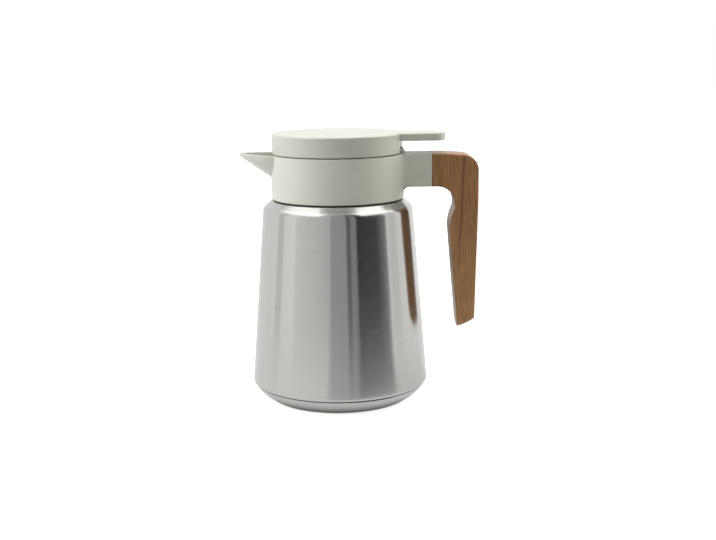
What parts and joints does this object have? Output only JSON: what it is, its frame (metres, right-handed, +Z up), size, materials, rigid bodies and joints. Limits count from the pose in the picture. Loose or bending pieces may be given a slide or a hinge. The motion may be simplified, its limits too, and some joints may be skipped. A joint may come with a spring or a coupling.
{
  "type": "insulated pitcher",
  "caption": "Insulated steel pitcher with a screw-on pouring head, pointed spout, wooden handle and a hinged lid opened by a thumb lever.",
  "frame": {"origin": "centre of the resting face of the base pad, on the body axis", "axes": "+Z up along the body axis, +X towards the handle, -X towards the spout"},
  "size_m": [0.1733, 0.1302, 0.1966],
  "materials": {
    "brushed_body": "fine brushing round the body",
    "flask_steel": "satin",
    "sage_plastic": "matte",
    "liner_plastic": "matte",
    "plug_plastic": "matte",
    "silicone": "matte",
    "dark_silicone": "matte",
    "brown_wood": "oiled",
    "fastener_steel": "plain",
    "brass": "plain",
    "foam": "matte"
  },
  "bodies": {
    "vessel": {"outer_shell": "brushed_body", "inner_flask": "flask_steel", "flask_bottom": "flask_steel", "bottom_plate": "flask_steel", "vacuum_seal": "brass", "getter": "fastener_steel", "base_cap": "brushed_body", "base_pad": "dark_silicone"},
    "mouth_ring": {"neck_gasket": "silicone"},
    "head": {"collar": "sage_plastic", "pour_liner": "liner_plastic", "handle_grip": "brown_wood", "handle_inserts": "brass", "handle_washers": "fastener_steel", "handle_screws": "fastener_steel", "hinge_pin": "fastener_steel", "lid_spring": "fastener_steel"},
    "lid": {"lid_cover": "sage_plastic", "lid_plug": "plug_plastic", "lid_seal": "silicone", "lid_foam": "foam"}
  },
  "joints": [
    {"name": "head_lift", "type": "slide", "parent": "vessel", "child": "mouth_ring", "axis": [0, 0, 1], "range_m": [0, 0.0063]},
    {"name": "head_turn", "type": "hinge", "parent": "mouth_ring", "child": "head", "pos_m": [0, 0, 0.1655], "axis": [0, 0, 1], "range_deg": [0, 450]},
    {"name": "lid_hinge", "type": "hinge", "parent": "head", "child": "lid", "pos_m": [0.0463, 0, 0.1829], "axis": [0, 1, 0], "range_deg": [0, 15], "stiffness_Nm_per_rad": 0.12, "springref_deg": -45.84, "deforming": ["lid_spring"]}
  ],
  "couplings": [
    {"joint": "head_lift", "follows": "head_turn", "m_per_rad": 0.00079577}
  ]
}
